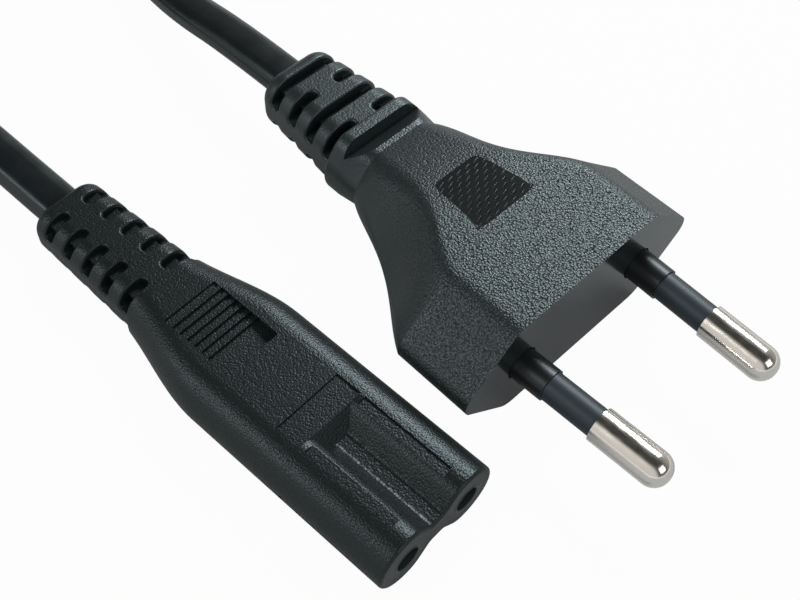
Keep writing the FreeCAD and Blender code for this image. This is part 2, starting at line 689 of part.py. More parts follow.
def plug_core(name, side):
    """A core from the sheath's end to one pin's crimp barrel, meeting it square."""
    lean_text = "((Sizes.pin_spacing - Sizes.tip_spacing) / 2 / Sizes.pin_length)"
    slope = Size((size["pin_spacing"] - size["tip_spacing"]).number / 2 / size["pin_length"].number, lean_text)
    angle = Size(math.degrees(math.atan(slope.number)), f"atan({lean_text})")
    cosine = Size(math.cos(math.radians(angle.number)), f"cos({angle.text})")
    sine = Size(math.sin(math.radians(angle.number)), f"sin({angle.text})")
    end = barrel_end
    turn = barrel_end - size["core_lead"]
    axis = size["pin_spacing"] / 2
    half = size["core_spacing"] / 2
    corners = [(sheath_end, half * side),
               (sheath_end + size["core_fan"], half * side, size["core_bend"]),
               (face_x + turn * cosine, (axis - turn * sine) * side, size["core_bend"]),
               (face_x + end * cosine, (axis - end * sine) * side)]
    return core(name, corners, plug_middle)


def connector_frame(thing):
    """Put a piece that was made along X with its nose at the origin where the connector lies."""
    place(thing, size["nose_x"], size["nose_y"], connector_middle, size["connector_turn"])


def offset_in_connector(thing, across):
    """The same for a piece that was made on the axis of one contact."""
    angle = size["connector_turn"]
    cosine = Size(math.cos(math.radians(angle.number)), f"cos({angle.text})")
    sine = Size(math.sin(math.radians(angle.number)), f"sin({angle.text})")
    place(thing, size["nose_x"] - across * sine, size["nose_y"] + across * cosine, connector_middle, angle)


def connector_moulding():
    """Figure-of-eight connector with its channels, grip recesses and ribbed strain relief."""
    body = new_body("connector_moulding")
    width, height = size["contact_pitch"] + size["lobe_diameter"], size["lobe_diameter"]
    lobe = (height - SLIVER) / 2
    tail = [oblong(body, "tail_root", taper_end, size["tail_root_width"], size["tail_root_height"],
                   size["tail_corner"]),
            oblong(body, "tail_tip", tail_end, size["tail_end_width"], size["tail_end_height"],
                   size["tail_corner"])]
    loft(body, "tail", *tail, ruled=True)
    round_end(body, "tail_rounding", tail_end, size["tail_end_radius"])
    tail_grooves(body)
    x = -size["barrel_run"]
    sections = [oblong(body, "lobe_end", x, width, height, lobe)]
    for part in ("brow", "hip", "throat"):
        x = x - size[f"{part}_run"]
        sections.append(oblong(body, f"{part}_section", x, size[f"{part}_width"], size[f"{part}_height"],
                               (size[f"{part}_height"] - size["side_flat"]) / 2))
    loft(body, "taper", *sections)
    back = oblong(body, "lobe_section", -size["barrel_run"], width, height, lobe)
    feature(body, "Pad", "lobes", back, Length=size["barrel_run"] - size["channel_length"])
    front = figure_of_eight(body, "nose_section", -size["channel_length"], width, height, lobe)
    feature(body, "Pad", "nose", front, Length=size["channel_length"])
    round_end(body, "nose_edge", ZERO, size["nose_rounding"])
    channel_ends(body)
    sunk_panels(body)
    grip_recesses(body)
    connector_frame(body)
    return body


def figure_of_eight(body, name, x, width, height, lobe):
    """Two round lobes with a channel between them, above and below."""
    w, up = width / 2, height / 2
    top, bottom = size["channel_width"] / 2, size["channel_floor"] / 2
    root, rounding = up - size["channel_depth"], size["channel_rounding"]
    fillet = size["channel_root"]
    upper = [(w, up, lobe), (top, up, rounding), (bottom, root, fillet),
             (-bottom, root, fillet), (-top, up, rounding), (-w, up, lobe)]
    lower = [(-y, -corner[0], *corner[1:]) for y, *corner in upper]
    return add_outline(new_sketch(body, name, "YZ_Plane", x), upper + lower)


def tail_grooves(body):
    """Bridged grooves over and under the connector's strain relief."""
    hole, depth = size["cord_width"] + size["tail_wall"] * 2, size["cord_height"] + size["tail_wall"] * 2
    first = tail_end + size["tail_groove_start"]
    rings = groove_ring(new_sketch(body, "tail_groove", "YZ_Plane", first), hole, depth,
                        size["tail_root_width"] * 1.5, size["tail_root_height"] * 1.5,
                        size["spine_width"], size["tail_bridge"], ZERO)
    row_of_cuts(body, "tail_grooves", rings, size["groove_width"], size["groove_pitch"], tail_groove_count)
    round_groove_ends(body, "tail_groove_ends", first, size["tail_bridge"], ZERO)
    round_rims(body, "tail_groove_rims", groove_walls(first, tail_groove_count), hole, depth, ZERO)


def channel_ends(body):
    """A sloping wall at the end of each channel, and a sunk flat behind it."""
    up, back = size["lobe_diameter"] / 2, -size["channel_length"]
    flat, root = up - size["flat_depth"], up - size["channel_depth"]
    half = size["contact_pitch"] / 2
    walls = new_sketch(body, "channel_walls", "XZ_Plane")
    flats = new_sketch(body, "flat_sections", "YZ_Plane", back)
    for side in (1, -1):
        add_outline(walls, [(back - size["channel_slope"], root * side), (back - size["channel_slope"], flat * side),
                            (back, flat * side), (back + size["channel_slope"], root * side)])
        add_outline(flats, [(half, flat * side), (half, (up + size["flat_depth"]) * side),
                            (-half, (up + size["flat_depth"]) * side), (-half, flat * side)])
    slope = feature(body, "Pad", "channel_slopes", walls, Length=size["contact_pitch"] - size["flat_depth"] * 2)
    slope.Midplane = True
    feature(body, "Pocket", "sunk_flats", flats, Length=size["flat_length"])


def sunk_panels(body):
    """Shallow panels beside the channels, and along the outside of each lobe."""
    up, side_reach = size["lobe_diameter"] / 2, (size["contact_pitch"] + size["lobe_diameter"]) / 2
    depth, wide = size["panel_depth"], size["panel_width"]
    crest = size["contact_pitch"] / 2
    sketch = new_sketch(body, "panel_sections", "YZ_Plane", -size["panel_start"])
    for side in (1, -1):
        for level in (1, -1):
            floor, clear = (up - depth) * level, (up + depth) * level
            add_outline(sketch, [(crest * side, floor), (crest * side, clear), ((crest - wide) * side, clear),
                                 ((crest - wide) * side, floor)])
        floor, clear = (side_reach - depth) * side, (side_reach + depth) * side
        add_outline(sketch, [(floor, ZERO), (clear, ZERO), (clear, -wide), (floor, -wide)])
    feature(body, "Pocket", "sunk_panels", sketch, Length=size["panel_length"])


def grip_recesses(body):
    """Above and below, a recess that deepens towards the nose, with ribs across its shallow end."""
    up = size["lobe_diameter"] / 2
    deep, shallow = -size["recess_start"], -(size["recess_start"] + size["recess_length"])
    fall = (size["recess_depth"] - size["recess_toe"]) / size["recess_length"]
    recess = new_sketch(body, "recess_profile", "XZ_Plane")
    ribs = new_sketch(body, "rib_profiles", "XZ_Plane")
    for side in (1, -1):
        clear = up + size["recess_depth"]
        add_outline(recess, [(deep, (up - size["recess_depth"]) * side), (deep, clear * side),
                             (shallow, clear * side), (shallow, (up - size["recess_toe"]) * side)])
        for i in range(RIBS):
            along = size["rib_start"] + size["rib_pitch"] * i
            floor = up - size["recess_toe"] - fall * along
            back, front = shallow + along, shallow + along + size["rib_width"]
            foot, crest = (floor - size["rib_height"]) * side, (floor + size["rib_height"]) * side
            add_outline(ribs, [(back, foot), (back, crest), (front, crest), (front, foot)])
    for kind, name, sketch in (("Pocket", "grip_recesses", recess), ("Pad", "grip_ribs", ribs)):
        made = feature(body, kind, name, sketch, Length=size["recess_width"])
        made.Midplane = True


def contact(name, side):
    """Turned contact: socket for the appliance's pin, and a crimp barrel behind it."""
    body = new_body(name)
    outer, bore = size["contact_diameter"] / 2, size["socket_diameter"] / 2
    barrel, wire = size["contact_barrel_diameter"] / 2, size["wire_diameter"] / 2
    front = -size["contact_recess"]
    socket_end, back = front - size["socket_depth"], front - size["contact_length"]
    axis = size["contact_pitch"] / 2 * side
    end = back - size["contact_barrel"]
    revolve(body, f"{name}_turned", [
        (socket_end, ZERO), (socket_end, bore), (front, bore), (front, outer), (back, outer), (back, barrel),
        (end, barrel), (end, wire), (back, wire), (back, ZERO)])
    offset_in_connector(body, axis)
    return body


def contact_holder():
    """Inner moulding of the connector: two tubes that show as rings in the nose, joined by a web."""
    body = new_body("holder_blank")
    back = size["contact_recess"] + size["contact_length"]
    pitch = size["contact_pitch"]
    web = oblong(body, "holder_web_section", -size["contact_recess"], pitch + size["holder_diameter"] / 2,
                 size["holder_web"], size["holder_web"] / 4)
    bar = feature(body, "Pad", "holder_bar", web, Length=size["contact_length"])
    bar.Reversed = True
    rings = new_sketch(body, "holder_tube_section", "YZ_Plane")
    for side in (1, -1):
        add_circle(rings, pitch / 2 * side, ZERO, size["holder_diameter"])
    tubes = feature(body, "Pad", "holder_tubes", rings, Length=back)
    tubes.Reversed = True
    connector_frame(body)
    return body


def holder_entry(name, side):
    """The way for an appliance's pin: a hole in the nose, then the bore of the contact."""
    body = new_body(name)
    entry, bore = size["entry_diameter"] / 2, size["socket_diameter"] / 2
    front = -size["contact_recess"]
    revolve(body, f"{name}_drill", [(ZERO, ZERO), (ZERO, entry), (front, entry), (front, bore),
                                    (front - size["socket_depth"], bore), (front - size["socket_depth"], ZERO)])
    offset_in_connector(body, size["contact_pitch"] / 2 * side)
    return body


def connector_core(name, side):
    """A core from the sheath's end to one contact's crimp barrel."""
    half, axis = size["core_spacing"] / 2 * side, size["contact_pitch"] / 2 * side
    end = -(size["contact_recess"] + size["contact_length"] + size["contact_barrel"])
    corners = [(connector_sheath_end, half), (connector_sheath_end + size["core_fan"], half, size["core_bend"]),
               (end - size["core_lead"], axis, size["core_bend"]), (end, axis)]
    body = core(name, corners, ZERO)
    connector_frame(body)
    return body


coil_width = size["turn_pitch"] * size["turns_across"]
coil_height = size["layer_pitch"] * LAYERS
outer_turn = size["coil_radius"] + (coil_width - size["turn_pitch"]) / 2


def coil_ring():
    """Outer shape of the coiled cord, resting on its tie."""
    body = new_body("coil_ring")
    inner, outer = size["coil_radius"] - coil_width / 2, size["coil_radius"] + coil_width / 2
    low, high = size["tie_thickness"], size["tie_thickness"] + coil_height
    corner = size["coil_corner"]
    sketch = add_outline(new_sketch(body, "coil_section", "XZ_Plane"), [
        (inner, low, corner), (outer, low, corner), (outer, high, corner), (inner, high, corner)])
    turned = feature(body, "Revolution", "coil_turns", sketch)
    turned.ReferenceAxis = (sketch, ["V_Axis"])
    turned.Angle = 360
    place(body, size["coil_x"], size["coil_y"], ZERO)
    return body


def level(layer):
    """Height of the cord's middle in one layer of the coil, counted from 0."""
    return size["tie_thickness"] + size["layer_pitch"] * (layer + 0.5)


def coil_end(direction, turn):
    """Where a straight end of the coil leaves it, and the way it points, as sizes."""
    reach_x = Size(math.cos(math.radians(direction.number)), f"cos({direction.text})")
    reach_y = Size(math.sin(math.radians(direction.number)), f"sin({direction.text})")
    return size["coil_x"] + outer_turn * reach_x, size["coil_y"] + outer_turn * reach_y, direction + turn


def coil_tail(name, direction, turn, layer):
    """A straight end of the coil, on the tangent of its outermost turn."""
    body = new_body(name)
    section = oblong(body, f"{name}_section", ZERO, size["cord_width"], size["cord_height"],
                     (size["cord_height"] - SLIVER) / 2)
    feature(body, "Pad", f"{name}_straight", section, Length=size["coil_tail"])
    x, y, angle = coil_end(direction, turn)
    place(body, x, y, level(layer), angle)
    return body


def coil_tie():
    """Band round the coil on its far side."""
    body = new_body("cord_tie")
    gap, band = size["tie_gap"], size["tie_thickness"]
    inner, outer = size["coil_radius"] - coil_width / 2 - gap, size["coil_radius"] + coil_width / 2 + gap
    low, high = band, band + coil_height + gap
    sketch = new_sketch(body, "tie_section", "XZ_Plane")
    for spread in (ZERO, band):
        add_outline(sketch, [(-(inner - spread), low - spread), (-(inner - spread), high + spread),
                             (-(outer + spread), high + spread), (-(outer + spread), low - spread)])
    strap = feature(body, "Pad", "tie_strap", sketch, Length=size["tie_width"])
    strap.Midplane = True
    place(body, size["coil_x"], size["coil_y"], ZERO)
    return body


def coil_approach(direction, turn, layer):
    """The last two points of a route: a straight run that ends on the coil's straight end."""
    x, y, angle = coil_end(direction, turn)
    ahead = Vector(math.cos(math.radians(angle.number)), math.sin(math.radians(angle.number)), 0)
    base = Vector(x.number, y.number, level(layer).number)
    tail = size["coil_tail"].number
    return [base + ahead * (tail + size["coil_lead"].number), base + ahead * tail]


def cord_runs():
    """The two free stretches of cord, each from inside a strain relief to the coil."""
    start = Vector(sheath_end.number, 0, plug_middle.number)
    plug_run = cord_tube("cord_plug_run", [start] + [Vector(*point) for point in PLUG_ROUTE]
                         + coil_approach(size["coil_entry"], -90, 0))
    turn = FreeCAD.Rotation(Vector(0, 0, 1), size["connector_turn"].number)
    nose = Vector(size["nose_x"].number, size["nose_y"].number, connector_middle.number)
    start = nose + turn.multVec(Vector(connector_sheath_end.number, 0, 0))
    connector_run = cord_tube("cord_connector_run", [start] + [Vector(*point) for point in CONNECTOR_ROUTE]
                              + coil_approach(size["coil_exit"], 90, LAYERS - 1))
    return plug_run, connector_run


plug_run, connector_run = cord_runs()
coil = joined("cord_coil", [coil_ring(), coil_tail("coil_entry_end", size["coil_entry"], -90, 0),
                            coil_tail("coil_exit_end", size["coil_exit"], 90, LAYERS - 1)])
tie = coil_tie()

pins = [pin("left_pin", 1), pin("right_pin", -1)]
sleeves = [pin_sleeve("left_pin_sleeve", 1), pin_sleeve("right_pin_sleeve", -1)]
plug_cores = [plug_core("plug_brown_core", 1), plug_core("plug_blue_core", -1)]
strand_length = size["barrel_length"] - size["barrel_floor"]
plug_wires = [crimped_wire("plug_brown_strands", barrel_end, strand_length, lambda body: pin_frame(body, 1)),
              crimped_wire("plug_blue_strands", barrel_end, strand_length, lambda body: pin_frame(body, -1))]
carrier_bar = pin_carrier_bar()
carrier = cut("pin_carrier", carrier_bar, joined("carrier_holes", pins + sleeves))
plug_inside = joined("plug_inside", [carrier_bar, plug_run] + pins + sleeves + plug_cores + plug_wires)
plug = cut("plug_body", plug_moulding(), plug_inside)

contacts = [contact("left_contact", 1), contact("right_contact", -1)]
contact_cores = [connector_core("connector_brown_core", 1), connector_core("connector_blue_core", -1)]
contact_end = -(size["contact_recess"] + size["contact_length"] + size["contact_barrel"])
contact_wires = [crimped_wire("connector_brown_strands", contact_end, size["contact_barrel"],
                              lambda body: offset_in_connector(body, size["contact_pitch"] / 2)),
                 crimped_wire("connector_blue_strands", contact_end, size["contact_barrel"],
                              lambda body: offset_in_connector(body, -size["contact_pitch"] / 2))]
blank = contact_holder()
entries = [holder_entry("left_entry", 1), holder_entry("right_entry", -1)]
holder = cut("contact_holder", blank, joined("holder_bores", contacts + entries))
connector_inside = joined("connector_inside", [blank] + contacts + contact_cores + contact_wires)
connector = cut("connector_body", cut("connector_shell", connector_moulding(), connector_run), connector_inside)

doc.recompute()
nodes = ([plug, carrier] + pins + sleeves + plug_cores + plug_wires + [plug_run, coil, connector_run, tie]
         + [connector, holder] + contacts + contact_cores + contact_wires)
failed = [item.Name for item in doc.Objects if "Invalid" in item.State or "Error" in item.State]
failed += [node.Name for node in nodes if node.Shape.isNull() or not node.Shape.isValid()]
if failed:
    raise RuntimeError(f"these pieces did not build: {failed}")
os.makedirs("parts", exist_ok=True)
for node in nodes:
    node.Label = node.Name
    node.Shape.exportStep(f"parts/{node.Label}.step")
    print(f"{node.Label}: {len(node.Shape.Solids)} solid, {node.Shape.Volume:.1f} mm3")
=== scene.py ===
import json
import math

import bmesh
import bpy
from mathutils import Matrix, Vector
from mathutils.bvhtree import BVHTree


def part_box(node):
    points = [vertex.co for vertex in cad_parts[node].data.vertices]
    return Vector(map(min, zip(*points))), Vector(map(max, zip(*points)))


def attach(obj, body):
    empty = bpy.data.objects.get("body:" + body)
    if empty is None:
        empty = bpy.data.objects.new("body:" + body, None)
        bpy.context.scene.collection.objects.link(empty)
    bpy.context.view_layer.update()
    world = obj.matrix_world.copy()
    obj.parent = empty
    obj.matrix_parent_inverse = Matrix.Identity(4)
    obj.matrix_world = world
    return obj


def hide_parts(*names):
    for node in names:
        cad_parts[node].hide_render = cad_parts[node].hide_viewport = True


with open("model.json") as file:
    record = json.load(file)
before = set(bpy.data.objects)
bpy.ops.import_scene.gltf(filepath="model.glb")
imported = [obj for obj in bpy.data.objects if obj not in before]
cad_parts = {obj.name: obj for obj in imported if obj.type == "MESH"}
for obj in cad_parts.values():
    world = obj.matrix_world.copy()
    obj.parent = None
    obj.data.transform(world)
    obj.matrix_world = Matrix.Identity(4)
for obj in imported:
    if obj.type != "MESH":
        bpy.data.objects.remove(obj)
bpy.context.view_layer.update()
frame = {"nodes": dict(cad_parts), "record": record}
nodes = frame["nodes"]
scene = bpy.context.scene
MM = 0.001

# Places that the looks are set out from, read from the frame.
plug_low, plug_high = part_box("plug_body")
FACE_X = plug_high.x
PLUG_MIDDLE = plug_high.z / 2
RELIEF_END = plug_low.x
COLLAR = 3.9 * MM


# Camera

CAMERA_FROM_FACE = Vector((36.37, -65.87, 105.62)) * MM
CAMERA_FORWARD = Vector((-0.3878, 0.4151, -0.823)).normalized()
CAMERA_UP = Vector((-0.5987, 0.5654, 0.5673))
SENSOR = 36.0
LENS = 54.35
PICTURE_WIDTH = 800
PICTURE_SHIFT = (-8 / PICTURE_WIDTH, 3 / PICTURE_WIDTH)


def make_camera():
    camera = bpy.data.objects.new("camera", bpy.data.cameras.new("camera"))
    scene.collection.objects.link(camera)
    right = CAMERA_FORWARD.cross(CAMERA_UP).normalized()
    up = right.cross(CAMERA_FORWARD)
    turn = Matrix((right, up, -CAMERA_FORWARD)).transposed().to_4x4()
    place = Vector((FACE_X, 0, PLUG_MIDDLE)) + CAMERA_FROM_FACE
    camera.matrix_world = Matrix.Translation(place) @ turn
    camera.data.sensor_fit = "HORIZONTAL"
    camera.data.sensor_width = SENSOR
    camera.data.lens = LENS
    camera.data.shift_x, camera.data.shift_y = PICTURE_SHIFT
    camera.data.clip_start = 5 * MM
    camera.data.clip_end = 5.0
    scene.camera = camera


# Cord

CORD_WIDTH, CORD_HEIGHT = 5.4 * MM, 3.4 * MM
CORD_NODES = ("cord_plug_run", "cord_coil", "cord_connector_run")
# Routes in millimetres, from inside each strain relief to the straight end of the coil.
PLUG_ROUTE = [(-26.95, 0, 7.1), (-41.5, 0, 7.1), (-56.5, 0.4, 4.3), (-71.42, 3.6, 2.35),
              (-82.84, 8.68, 2.35)]
CONNECTOR_ROUTE = [(-31.7, -30.19, 3.8), (-44.1, -30.84, 3.8), (-57.8, -31.75, 4.6), (-71.98, -35.49, 5.85),
                   (-83.54, -40.24, 5.85)]
COIL_MIDDLE = Vector((-116.5, -15.3, 0))
COIL_RADII = (35.6, 30.0, 24.4)
COIL_LEVELS = (2.35, 5.85)
COIL_ENTRY, COIL_EXIT = 66.0, 292.35
COIL_TURNS = 5
# Angles turned, in degrees, where the cord starts to change its turn or its layer, and how long a change takes.
COIL_INWARD, COIL_CLIMB, COIL_OUTWARD = (300, 660), 1020, (1320, 1680)
COIL_CHANGE = 60
POINTS_PER_TURN = 24
SECTION_POINTS = 9


def eased(turned, start):
    """From 0 to 1 while the turned angle passes one change, smoothly."""
    share = min(1.0, max(0.0, (turned - start) / COIL_CHANGE))
    return share * share * (3 - 2 * share)


def coil_points():
    """Three turns inwards on the lower layer, then back out on the upper one, side by side."""
    total = COIL_TURNS * 360 + COIL_EXIT - COIL_ENTRY
    pitch = COIL_RADII[0] - COIL_RADII[1]
    count = round(total / 360 * POINTS_PER_TURN)
    outside = 1 / math.cos(math.pi / POINTS_PER_TURN)
    points = []
    for i in range(count + 1):
        turned = total * i / count
        radius = COIL_RADII[0] + pitch * (sum(eased(turned, start) for start in COIL_OUTWARD)
                                          - sum(eased(turned, start) for start in COIL_INWARD))
        height = COIL_LEVELS[0] + (COIL_LEVELS[1] - COIL_LEVELS[0]) * eased(turned, COIL_CLIMB)
        angle = math.radians(COIL_ENTRY + turned)
        points.append(COIL_MIDDLE + Vector((math.cos(angle), math.sin(angle), 0)) * radius * outside
                      + Vector((0, 0, height)))
    return points


def flat_profile():
    """The cord's section, a flat oval, as the curve that the route is bevelled with."""
    half, radius = (CORD_WIDTH - CORD_HEIGHT) / 2, CORD_HEIGHT / 2
    curve = bpy.data.curves.new("cord_section", "CURVE")
    curve.dimensions = "2D"
    spline = curve.splines.new("POLY")
    points = []
    for side in (1, -1):
        for i in range(SECTION_POINTS):
            angle = math.pi * (0.5 - i / (SECTION_POINTS - 1))
            points.append((side * (half + radius * math.cos(angle)), side * radius * math.sin(angle)))
    spline.points.add(len(points) - 1)
    for point, (x, y) in zip(spline.points, points):
        point.co = (x, y, 0, 1)
    spline.use_cyclic_u = True
    return bpy.data.objects.new("cord_section", curve)


def make_cord():
    route = ([Vector(point) for point in PLUG_ROUTE] + coil_points()
             + [Vector(point) for point in reversed(CONNECTOR_ROUTE)])
    curve = bpy.data.curves.new("cord", "CURVE")
    curve.dimensions = "3D"
    curve.twist_mode = "Z_UP"
    spline = curve.splines.new("NURBS")
    spline.points.add(len(route) - 1)
    for point, place in zip(spline.points, route):
        point.co = (*(place * MM), 1)
    spline.order_u = 3
    spline.use_endpoint_u = True
    spline.resolution_u = 8
    curve.bevel_mode = "OBJECT"
    curve.bevel_object = flat_profile()
    curve.use_fill_caps = True
    cord = bpy.data.objects.new("cord", curve)
    scene.collection.objects.link(cord)
    curve.materials.append(cord_sheath())
    return cord


# Grip studs

GRIP_FRONT, GRIP_REAR = FACE_X - 11.5 * MM, FACE_X - 19.4 * MM
GRIP_HALF_FRONT, GRIP_HALF_REAR = 4.2 * MM, 3.3 * MM
GRIP_LIFT, GRIP_SKIRT = 0.012 * MM, 0.03 * MM
GRIP_CORNER = 0.06
GRIP_SQUARES = 16
STUD_ROW, STUD_PITCH = 0.68 * MM, 1.32 * MM
STUD_BASE = (0.44 * MM, 1.05 * MM)
STUD_RIDGE = (0.1 * MM, 0.62 * MM)
STUD_HEIGHT, STUD_SUNK = 0.2 * MM, 0.06 * MM
STUD_ROUNDING = 0.03 * MM
STUD_MARGIN = 0.05 * STUD_PITCH
STUD_TURN = math.radians(14)


def add_stud(shape, place, upright):
    """One roofed stud with a slanting ridge, standing on the moulding."""
    made = bmesh.ops.create_cube(shape, size=1.0)["verts"]
    for vert in made:
        width, length = STUD_RIDGE if vert.co.z > 0 else STUD_BASE
        vert.co = Vector((math.copysign(width / 2, vert.co.x), math.copysign(length / 2, vert.co.y),
                          STUD_HEIGHT if vert.co.z > 0 else -STUD_SUNK))
    edges = dict.fromkeys(edge for vert in made if vert.co.z > 0 for edge in vert.link_edges)
    bevelled = bmesh.ops.bevel(shape, geom=list(edges), offset=STUD_ROUNDING, segments=2, profile=0.5,
                               affect="EDGES", material=-1)
    verts = {vert for vert in made if vert.is_valid} | set(bevelled["verts"])
    stand = Vector((0, 0, 1)).rotation_difference(upright).to_matrix().to_4x4()
    bmesh.ops.transform(shape, verts=list(verts),
                        matrix=Matrix.Translation(place) @ stand @ Matrix.Rotation(STUD_TURN, 4, "Z"))


def plug_surface():
    """The plug's moulding, ready to be met from above."""
    body = bmesh.new()
    body.from_mesh(nodes["plug_body"].data)
    surface = BVHTree.FromBMesh(body)
    body.free()
    return surface


def on_top(surface, x, y):
    place, upright, _, _ = surface.ray_cast(Vector((x, y, 0.05)), Vector((0, 0, -1)))
    return place, upright


def grip_half(x):
    """Half the patch's width, which grows towards the face."""
    share = (x - GRIP_REAR) / (GRIP_FRONT - GRIP_REAR)
    return GRIP_HALF_REAR + (GRIP_HALF_FRONT - GRIP_HALF_REAR) * share


def new_piece(name, shape, material):
    mesh = bpy.data.meshes.new(name)
    shape.to_mesh(mesh)
    shape.free()
    mesh.materials.append(material)
    piece = bpy.data.objects.new(name, mesh)
    scene.collection.objects.link(piece)
    return piece


def stud_places():
    """Staggered rows across the flat behind the face."""
    reach = math.ceil(GRIP_HALF_FRONT / STUD_PITCH)
    for row in range(int((GRIP_FRONT - GRIP_REAR) / STUD_ROW)):
        x = GRIP_FRONT - (row + 0.5) * STUD_ROW
        for step in range(-reach, reach + 1):
            y = (step + 0.5 * (row % 2)) * STUD_PITCH
            if abs(y) < grip_half(x) - STUD_MARGIN:
                yield x, y


def make_grip_patch(surface):
    """The patch's thin floor, a sheet of painted shade laid on the moulding, with soft corners and a skirt into
    it all round.
    """
    shape = bmesh.new()
    bmesh.ops.create_grid(shape, x_segments=GRIP_SQUARES, y_segments=GRIP_SQUARES, size=1.0)
    middle, half = (GRIP_FRONT + GRIP_REAR) / 2, (GRIP_FRONT - GRIP_REAR) / 2
    for vert in shape.verts:
        inset = 1 - GRIP_CORNER * (vert.co.x * vert.co.y) ** 8
        x = middle + vert.co.x * inset * half
        place, upright = on_top(surface, x, vert.co.y * inset * grip_half(x))
        vert.co = place + upright * GRIP_LIFT
    border = [edge for edge in shape.edges if edge.is_boundary]
    skirt = bmesh.ops.extrude_edge_only(shape, edges=border)["geom"]
    bmesh.ops.translate(shape, verts=[part for part in skirt if isinstance(part, bmesh.types.BMVert)],
                        vec=(0, 0, -GRIP_SKIRT))
    bmesh.ops.recalc_face_normals(shape, faces=shape.faces)
    return new_piece("grip_patch", shape, grip_painted_shade())


def make_grip_studs(surface):
    shape = bmesh.new()
    for x, y in stud_places():
        add_stud(shape, *on_top(surface, x, y))
    return new_piece("grip_studs", shape, stud_moulding())


# Socket lips

SOCKET_TO_NOSE = 6.75 * MM
LIP_RADIUS, LIP_ROUND = 1.62 * MM, 0.17 * MM
LIP_SUNK = 0.1 * MM
LIP_COLOUR = (0.016, 0.0205, 0.021)


def make_socket_lips():
    """A low rounded ring round each hole in the connector's nose."""
    shape = bmesh.new()
    for mount in frame["record"]["mounts"]:
        if mount["kind"] != "bore":
            continue
        middle, axis = Vector(mount["pos_m"]), Vector(mount["axis"])
        made = bmesh.ops.create_circle(shape, segments=10, radius=LIP_ROUND)["verts"]
        upright = Matrix.Rotation(math.pi / 2, 3, "X")
        bmesh.ops.rotate(shape, verts=made, cent=(0, 0, 0), matrix=upright)
        bmesh.ops.translate(shape, verts=made, vec=(LIP_RADIUS, 0, 0))
        edges = list(dict.fromkeys(edge for vert in made for edge in vert.link_edges))
        before = set(shape.verts) - set(made)
        bmesh.ops.spin(shape, geom=edges + made, cent=(0, 0, 0), axis=(0, 0, 1), angle=2 * math.pi,
                       steps=40, use_merge=True)
        place = Matrix.Translation(middle + axis * (SOCKET_TO_NOSE - LIP_SUNK))
        bmesh.ops.transform(shape, verts=[vert for vert in shape.verts if vert not in before],
                            matrix=place @ axis.to_track_quat("Z", "Y").to_matrix().to_4x4())
    bmesh.ops.recalc_face_normals(shape, faces=shape.faces)
    for face in shape.faces:
        face.smooth = True
    return new_piece("socket_lips", shape, smooth_plastic("socket_lip", LIP_COLOUR, 0.3, COOL))


# Materials

class Finish:
    """A material under construction: one Principled shader and the nodes that feed it."""

    def __init__(self, name, metallic=0.0, specular=0.5, tint=(1, 1, 1)):
        self.material = bpy.data.materials.new(name)
        self.material.use_nodes = True
        self.tree = self.material.node_tree
        self.shader = self.tree.nodes["Principled BSDF"]
        self.shader.inputs["Metallic"].default_value = metallic
        self.shader.inputs["Specular IOR Level"].default_value = specular
        self.shader.inputs["Specular Tint"].default_value = (*tint, 1)
        self.place = self.node("ShaderNodeTexCoord").outputs["Object"]

    def node(self, kind, **values):
        node = self.tree.nodes.new(kind)
        for name, value in values.items():
            setattr(node, name, value)
        return node

    def link(self, source, target):
        self.tree.links.new(source, target)

    def set(self, socket, value):
        if isinstance(value, (int, float)):
            socket.default_value = value
        else:
            self.link(value, socket)

    def math(self, operation, a, b=0.0):
        node = self.node("ShaderNodeMath", operation=operation)
        self.set(node.inputs[0], a)
        self.set(node.inputs[1], b)
        return node.outputs[0]

    def ramp(self, value, low, high, out_low=0.0, out_high=1.0):
        node = self.node("ShaderNodeMapRange", interpolation_type="SMOOTHSTEP")
        ends = {"From Min": low, "From Max": high, "To Min": out_low, "To Max": out_high}
        for name, number in ends.items():
            node.inputs[name].default_value = number
        self.link(value, node.inputs["Value"])
        return node.outputs["Result"]

    def axes(self, vector):
        node = self.node("ShaderNodeSeparateXYZ")
        self.link(vector, node.inputs[0])
        return node.outputs

    def noise(self, size, detail=2.0, vector=None):
        """Noise whose blotches are about that size, in metres."""
        node = self.node("ShaderNodeTexNoise")
        self.link(vector or self.place, node.inputs["Vector"])
        node.inputs["Scale"].default_value = 1 / size
        node.inputs["Detail"].default_value = detail
        return node.outputs["Fac"]

    def cells(self, size):
        """Distance from the middles of cells of about that size, in cells."""
        node = self.node("ShaderNodeTexVoronoi", feature="F1")
        self.link(self.place, node.inputs["Vector"])
        node.inputs["Scale"].default_value = 1 / size
        return node.outputs["Distance"]

    def mix_colours(self, share, first, second):
        node = self.node("ShaderNodeMix", data_type="RGBA")
        self.link(share, node.inputs["Factor"])
        node.inputs["A"].default_value = (*first, 1)
        node.inputs["B"].default_value = (*second, 1)
        self.link(node.outputs["Result"], self.shader.inputs["Base Color"])

    def bump(self, height, distance, strength=1.0, under=None):
        node = self.node("ShaderNodeBump")
        node.inputs["Distance"].default_value = distance
        self.set(node.inputs["Strength"], strength)
        self.link(height, node.inputs["Height"])
        if under is not None:
            self.link(under, node.inputs["Normal"])
        return node.outputs["Normal"]

    def finish(self, normal, roughness):
        self.link(normal, self.shader.inputs["Normal"])
        self.set(self.shader.inputs["Roughness"], roughness)
        return self.material


COOL = (0.78, 0.96, 1.0)
